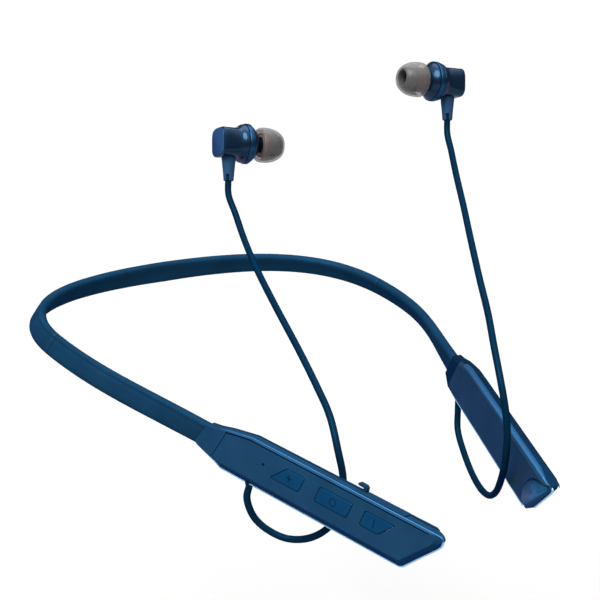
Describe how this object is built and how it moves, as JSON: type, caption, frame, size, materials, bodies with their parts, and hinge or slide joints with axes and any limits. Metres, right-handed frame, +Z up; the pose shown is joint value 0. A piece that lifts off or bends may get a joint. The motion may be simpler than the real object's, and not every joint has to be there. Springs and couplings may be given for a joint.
{
  "type": "neckband earphones",
  "caption": "Wireless neckband earphones: a sprung band with a control pod, a battery pod and in-ear buds with magnetic backs on short cords.",
  "frame": {"origin": "middle of the nape's inner face, at half the strap's height", "axes": "+Z up, +Y out behind the nape, -Y towards the pods and the wearer's chest, -X the wearer's right (control pod)"},
  "size_m": [0.1458, 0.216, 0.1246],
  "materials": {
    "sleeve_rubber": "satin silicone rubber",
    "spring_steel": "drawn wire",
    "ribbon_film": "polyimide film",
    "pod_face": "fine satin with a metallic sheen",
    "pod_body": "fine satin with a metallic sheen",
    "key_plastic": "semi-gloss",
    "circuit_board": "solder mask",
    "switch_body": "moulded",
    "shield_tin": "tinned",
    "chip_black": "moulded epoxy",
    "motor_can": "drawn can",
    "mic_can": "plated",
    "gasket_foam": "closed-cell foam",
    "port_steel": "plated",
    "flap_rubber": "matt silicone rubber",
    "cell_foil": "laminated foil",
    "foam_pad": "foam",
    "nickel_tab": "nickel strip",
    "boot_rubber": "matt",
    "cord_rubber": "satin",
    "bud_gloss": "high gloss",
    "bud_ring_metal": "polished, blue",
    "driver_can": "plated",
    "magnet_nickel": "nickel",
    "nozzle_steel": "woven mesh",
    "tip_silicone": "translucent silicone"
  },
  "bodies": {
    "band": {"neck_sleeve": "sleeve_rubber", "memory_wire": "spring_steel", "band_ribbon": "ribbon_film"},
    "arm_r": {"flex_sleeve_r": "sleeve_rubber", "flex_wire_r": "spring_steel", "flex_ribbon_r": "ribbon_film", "pod_front_r": "pod_face", "pod_back_r": "pod_body", "main_board": "circuit_board", "tact_switches": "switch_body", "shield_can": "shield_tin", "board_parts": "chip_black", "vibration_motor": "motor_can", "microphone": "mic_can", "mic_gasket": "gasket_foam", "usb_port": "port_steel", "cord_boot_r": "boot_rubber", "cord_r": "cord_rubber"},
    "arm_l": {"flex_sleeve_l": "sleeve_rubber", "flex_wire_l": "spring_steel", "flex_ribbon_l": "ribbon_film", "pod_front_l": "pod_face", "pod_back_l": "pod_body", "battery_cell": "cell_foil", "battery_pad": "foam_pad", "battery_board": "circuit_board", "battery_parts": "chip_black", "battery_tabs": "nickel_tab", "cord_boot_l": "boot_rubber", "cord_l": "cord_rubber"},
    "key_plus": {"key_plus": "key_plastic"},
    "key_multi": {"key_multi": "key_plastic"},
    "key_minus": {"key_minus": "key_plastic"},
    "port_flap": {"port_flap": "flap_rubber"},
    "bud_r": {"bud_shell_r": "bud_gloss", "bud_ring_r": "bud_ring_metal", "bud_front_r": "bud_gloss", "driver_r": "driver_can", "magnet_r": "magnet_nickel", "nozzle_mesh_r": "nozzle_steel", "stem_sleeve_r": "boot_rubber"},
    "bud_l": {"bud_shell_l": "bud_gloss", "bud_ring_l": "bud_ring_metal", "bud_front_l": "bud_gloss", "driver_l": "driver_can", "magnet_l": "magnet_nickel", "nozzle_mesh_l": "nozzle_steel", "stem_sleeve_l": "boot_rubber"},
    "tip_r": {"ear_tip_r": "tip_silicone"},
    "tip_l": {"ear_tip_l": "tip_silicone"}
  },
  "joints": [
    {"name": "arm_flex_r", "type": "hinge", "parent": "band", "child": "arm_r", "pos_m": [-0.0665, -0.082, 0], "axis": [0, 0, -1], "range_deg": [-4, 15], "stiffness_Nm_per_rad": 0.3, "deforming": ["flex_sleeve_r", "flex_wire_r", "flex_ribbon_r"]},
    {"name": "arm_flex_l", "type": "hinge", "parent": "band", "child": "arm_l", "pos_m": [0.0638, -0.0784, 0], "axis": [0, 0, 1], "range_deg": [-4, 15], "stiffness_Nm_per_rad": 0.3, "deforming": ["flex_sleeve_l", "flex_wire_l", "flex_ribbon_l"]},
    {"name": "key_plus_press", "type": "slide", "parent": "arm_r", "child": "key_plus", "axis": [0.9759, 0.1915, -0.1045], "range_m": [0, 0.0004], "stiffness_N_per_m": 3000, "springref_m": -0.0001},
    {"name": "key_multi_press", "type": "slide", "parent": "arm_r", "child": "key_multi", "axis": [0.9759, 0.1915, -0.1045], "range_m": [0, 0.0004], "stiffness_N_per_m": 3000, "springref_m": -0.0001},
    {"name": "key_minus_press", "type": "slide", "parent": "arm_r", "child": "key_minus", "axis": [0.9759, 0.1915, -0.1045], "range_m": [0, 0.0004], "stiffness_N_per_m": 3000, "springref_m": -0.0001},
    {"name": "port_flap_open", "type": "hinge", "parent": "arm_r", "child": "port_flap", "pos_m": [-0.04322, -0.19753, 0.0079], "axis": [0.9759, 0.1915, -0.1045], "range_deg": [0, 100]},
    {"name": "bud_twist_r", "type": "hinge", "parent": "arm_r", "child": "bud_r", "pos_m": [-0.01617, -0.06031, 0.05669], "axis": [0.1691, 0.3794, 0.9096], "range_deg": [-40, 40]},
    {"name": "bud_twist_l", "type": "hinge", "parent": "arm_l", "child": "bud_l", "pos_m": [0.05609, -0.08324, 0.07801], "axis": [0.1672, 0.3784, 0.9104], "range_deg": [-40, 40]},
    {"name": "tip_pull_r", "type": "slide", "parent": "bud_r", "child": "tip_r", "axis": [0.9729, -0.2121, -0.0924], "range_m": [0, 0.009]},
    {"name": "tip_pull_l", "type": "slide", "parent": "bud_l", "child": "tip_l", "axis": [-0.9821, 0.145, 0.1201], "range_m": [0, 0.009]}
  ]
}
